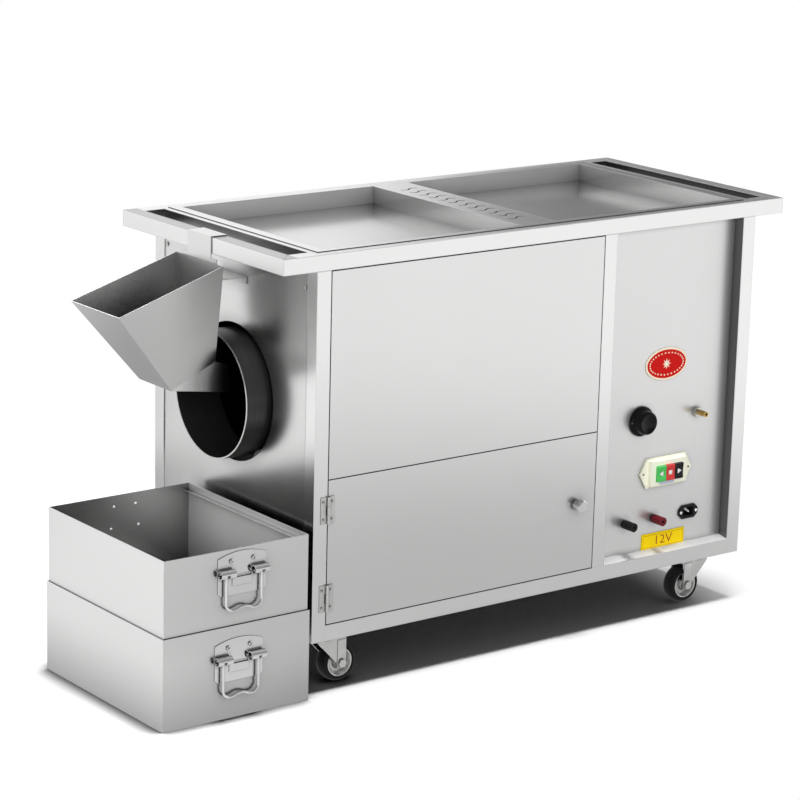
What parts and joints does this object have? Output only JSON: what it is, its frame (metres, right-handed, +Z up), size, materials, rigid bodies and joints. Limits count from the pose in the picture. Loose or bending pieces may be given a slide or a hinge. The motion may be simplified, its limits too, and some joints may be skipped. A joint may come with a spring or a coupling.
{
  "type": "chestnut roaster machine",
  "caption": "Drum roaster cart on casters: tube frame cabinet, warming pans on top, motor-turned drum over a gas burner, hook-on feed hopper, control panel and stacked catch bins.",
  "frame": {"origin": "on the floor, below the middle of the whole part's bounding box", "axes": "+X along the table towards the control panel end, +Y from the front face to the back, +Z up"},
  "size_m": [1.453, 0.5616, 0.822],
  "materials": {
    "frame_steel": "satin",
    "sheet_steel": "brushed",
    "drum_steel": "heat darkened",
    "bracket_steel": "plain",
    "cast_iron": "as cast",
    "brass": "turned",
    "black_plastic": "semi-gloss",
    "red_plastic": "semi-gloss",
    "green_plastic": "semi-gloss",
    "cream_plastic": "matte",
    "belt_rubber": "matte",
    "supply_case": "plain",
    "zinc_steel": "zinc plated",
    "wheel_rubber": "matte",
    "chrome": "polished"
  },
  "bodies": {
    "cabinet": {"cabinet_frame": "frame_steel", "table_rim": "frame_steel", "warming_deck": "sheet_steel", "left_pan": "sheet_steel", "right_pan": "sheet_steel", "upper_front_panel": "sheet_steel", "control_panel": "sheet_steel", "left_end_panel": "sheet_steel", "closing_panels": "sheet_steel", "floor_pan": "sheet_steel", "bulkhead": "sheet_steel", "burner": "cast_iron", "support_brackets": "bracket_steel", "gas_pipe": "brass", "gas_valve": "brass", "gas_inlet": "brass", "power_inlet": "black_plastic", "terminal_posts": "brass", "switch_housing": "cream_plastic", "gear_motor": "cast_iron", "shaft_bearing": "cast_iron", "drive_belt": "belt_rubber", "power_supply": "supply_case", "caster_plates": "zinc_steel", "hinge_frame_leaves": "frame_steel"},
    "drum": {"drum_neck": "drum_steel", "drum_shell": "drum_steel", "drum_flights": "drum_steel", "drum_shaft": "bracket_steel", "drum_pulley": "cast_iron"},
    "hopper": {"hopper": "sheet_steel", "hopper_brackets": "sheet_steel"},
    "lower_door": {"lower_door": "sheet_steel", "hinge_door_leaves": "frame_steel"},
    "lower_bin": {"lower_bin": "sheet_steel", "lower_handle_plates": "chrome"},
    "upper_bin": {"upper_bin": "sheet_steel", "upper_handle_plates": "chrome"},
    "motor_pulley": {"motor_pulley": "cast_iron"},
    "front_roller": {"front_roller": "bracket_steel"},
    "rear_roller": {"rear_roller": "bracket_steel"},
    "door_latch": {"door_latch": "chrome"},
    "gas_knob": {"gas_knob": "black_plastic"},
    "forward_button": {"forward_button": "green_plastic"},
    "stop_button": {"stop_button": "red_plastic"},
    "reverse_button": {"reverse_button": "black_plastic"},
    "negative_cap": {"negative_cap": "black_plastic"},
    "positive_cap": {"positive_cap": "red_plastic"},
    "front_left_fork": {"front_left_fork": "zinc_steel"},
    "front_right_fork": {"front_right_fork": "zinc_steel"},
    "rear_left_fork": {"rear_left_fork": "zinc_steel"},
    "rear_right_fork": {"rear_right_fork": "zinc_steel"},
    "front_left_wheel": {"front_left_wheel": "wheel_rubber"},
    "front_right_wheel": {"front_right_wheel": "wheel_rubber"},
    "rear_left_wheel": {"rear_left_wheel": "wheel_rubber"},
    "rear_right_wheel": {"rear_right_wheel": "wheel_rubber"},
    "lower_front_bail": {"lower_front_bail": "chrome"},
    "lower_rear_bail": {"lower_rear_bail": "chrome"},
    "upper_front_bail": {"upper_front_bail": "chrome"},
    "upper_rear_bail": {"upper_rear_bail": "chrome"}
  },
  "joints": [
    {"name": "drum_spin", "type": "hinge", "parent": "cabinet", "child": "drum", "pos_m": [-0.0735, 0.01435, 0.516], "axis": [1, 0, 0], "continuous": true},
    {"name": "motor_pulley_spin", "type": "hinge", "parent": "cabinet", "child": "motor_pulley", "pos_m": [0.3525, 0.01435, 0.235], "axis": [1, 0, 0], "continuous": true},
    {"name": "front_roller_spin", "type": "hinge", "parent": "cabinet", "child": "front_roller", "pos_m": [-0.3827, -0.06928, 0.39657], "axis": [1, 0, 0], "continuous": true},
    {"name": "rear_roller_spin", "type": "hinge", "parent": "cabinet", "child": "rear_roller", "pos_m": [-0.3827, 0.09798, 0.39657], "axis": [1, 0, 0], "continuous": true},
    {"name": "hopper_lift", "type": "slide", "parent": "cabinet", "child": "hopper", "axis": [0, 0, 1], "range_m": [0, 0.03]},
    {"name": "lower_door_hinge", "type": "hinge", "parent": "cabinet", "child": "lower_door", "pos_m": [-0.3695, -0.25535, 0.266], "axis": [0, 0, -1], "range_deg": [0, 105]},
    {"name": "door_latch_turn", "type": "hinge", "parent": "lower_door", "child": "door_latch", "pos_m": [0.2215, -0.25215, 0.266], "axis": [0, -1, 0], "range_deg": [0, 90]},
    {"name": "gas_knob_turn", "type": "hinge", "parent": "cabinet", "child": "gas_knob", "pos_m": [0.3985, -0.22715, 0.402], "axis": [0, -1, 0], "range_deg": [0, 180]},
    {"name": "forward_press", "type": "slide", "parent": "cabinet", "child": "forward_button", "axis": [0, 1, 0], "range_m": [0, 0.004], "stiffness_N_per_m": 500},
    {"name": "stop_press", "type": "slide", "parent": "cabinet", "child": "stop_button", "axis": [0, 1, 0], "range_m": [0, 0.004], "stiffness_N_per_m": 500},
    {"name": "reverse_press", "type": "slide", "parent": "cabinet", "child": "reverse_button", "axis": [0, 1, 0], "range_m": [0, 0.004], "stiffness_N_per_m": 500},
    {"name": "negative_cap_turn", "type": "hinge", "parent": "cabinet", "child": "negative_cap", "pos_m": [0.3665, -0.24415, 0.197], "axis": [0, -1, 0], "range_deg": [0, 360]},
    {"name": "positive_cap_turn", "type": "hinge", "parent": "cabinet", "child": "positive_cap", "pos_m": [0.4425, -0.24415, 0.197], "axis": [0, -1, 0], "range_deg": [0, 360]},
    {"name": "front_left_swivel", "type": "hinge", "parent": "cabinet", "child": "front_left_fork", "pos_m": [-0.34, -0.20215, 0.09], "axis": [0, 0, 1], "continuous": true},
    {"name": "front_left_roll", "type": "hinge", "parent": "front_left_fork", "child": "front_left_wheel", "pos_m": [-0.31, -0.20215, 0.0375], "axis": [0, 1, 0], "continuous": true},
    {"name": "front_right_swivel", "type": "hinge", "parent": "cabinet", "child": "front_right_fork", "pos_m": [0.5785, -0.20215, 0.09], "axis": [0, 0, 1], "continuous": true},
    {"name": "front_right_roll", "type": "hinge", "parent": "front_right_fork", "child": "front_right_wheel", "pos_m": [0.5485, -0.20215, 0.0375], "axis": [0, 1, 0], "continuous": true},
    {"name": "rear_left_swivel", "type": "hinge", "parent": "cabinet", "child": "rear_left_fork", "pos_m": [-0.34, 0.23085, 0.09], "axis": [0, 0, 1], "continuous": true},
    {"name": "rear_left_roll", "type": "hinge", "parent": "rear_left_fork", "child": "rear_left_wheel", "pos_m": [-0.31, 0.23085, 0.0375], "axis": [0, 1, 0], "continuous": true},
    {"name": "rear_right_swivel", "type": "hinge", "parent": "cabinet", "child": "rear_right_fork", "pos_m": [0.5785, 0.23085, 0.09], "axis": [0, 0, 1], "continuous": true},
    {"name": "rear_right_roll", "type": "hinge", "parent": "rear_right_fork", "child": "rear_right_wheel", "pos_m": [0.5485, 0.23085, 0.0375], "axis": [0, 1, 0], "continuous": true},
    {"name": "lower_bin_pull", "type": "slide", "parent": "cabinet", "child": "lower_bin", "axis": [-1, 0, 0], "range_m": [0, 0.4]},
    {"name": "upper_bin_lift", "type": "slide", "parent": "lower_bin", "child": "upper_bin", "axis": [0, 0, 1], "range_m": [0, 0.06]},
    {"name": "lower_front_bail_swing", "type": "hinge", "parent": "lower_bin", "child": "lower_front_bail", "pos_m": [-0.568, -0.27285, 0.1091], "axis": [-1, 0, 0], "range_deg": [0, 90]},
    {"name": "lower_rear_bail_swing", "type": "hinge", "parent": "lower_bin", "child": "lower_rear_bail", "pos_m": [-0.568, 0.14455, 0.1091], "axis": [1, 0, 0], "range_deg": [0, 90]},
    {"name": "upper_front_bail_swing", "type": "hinge", "parent": "upper_bin", "child": "upper_front_bail", "pos_m": [-0.561, -0.26985, 0.2681], "axis": [-1, 0, 0], "range_deg": [0, 90]},
    {"name": "upper_rear_bail_swing", "type": "hinge", "parent": "upper_bin", "child": "upper_rear_bail", "pos_m": [-0.561, 0.14155, 0.2681], "axis": [1, 0, 0], "range_deg": [0, 90]}
  ],
  "couplings": [
    {"joint": "motor_pulley_spin", "follows": "drum_spin", "ratio": 2.8125},
    {"joint": "front_roller_spin", "follows": "drum_spin", "ratio": -4.82},
    {"joint": "rear_roller_spin", "follows": "drum_spin", "ratio": -4.82}
  ]
}
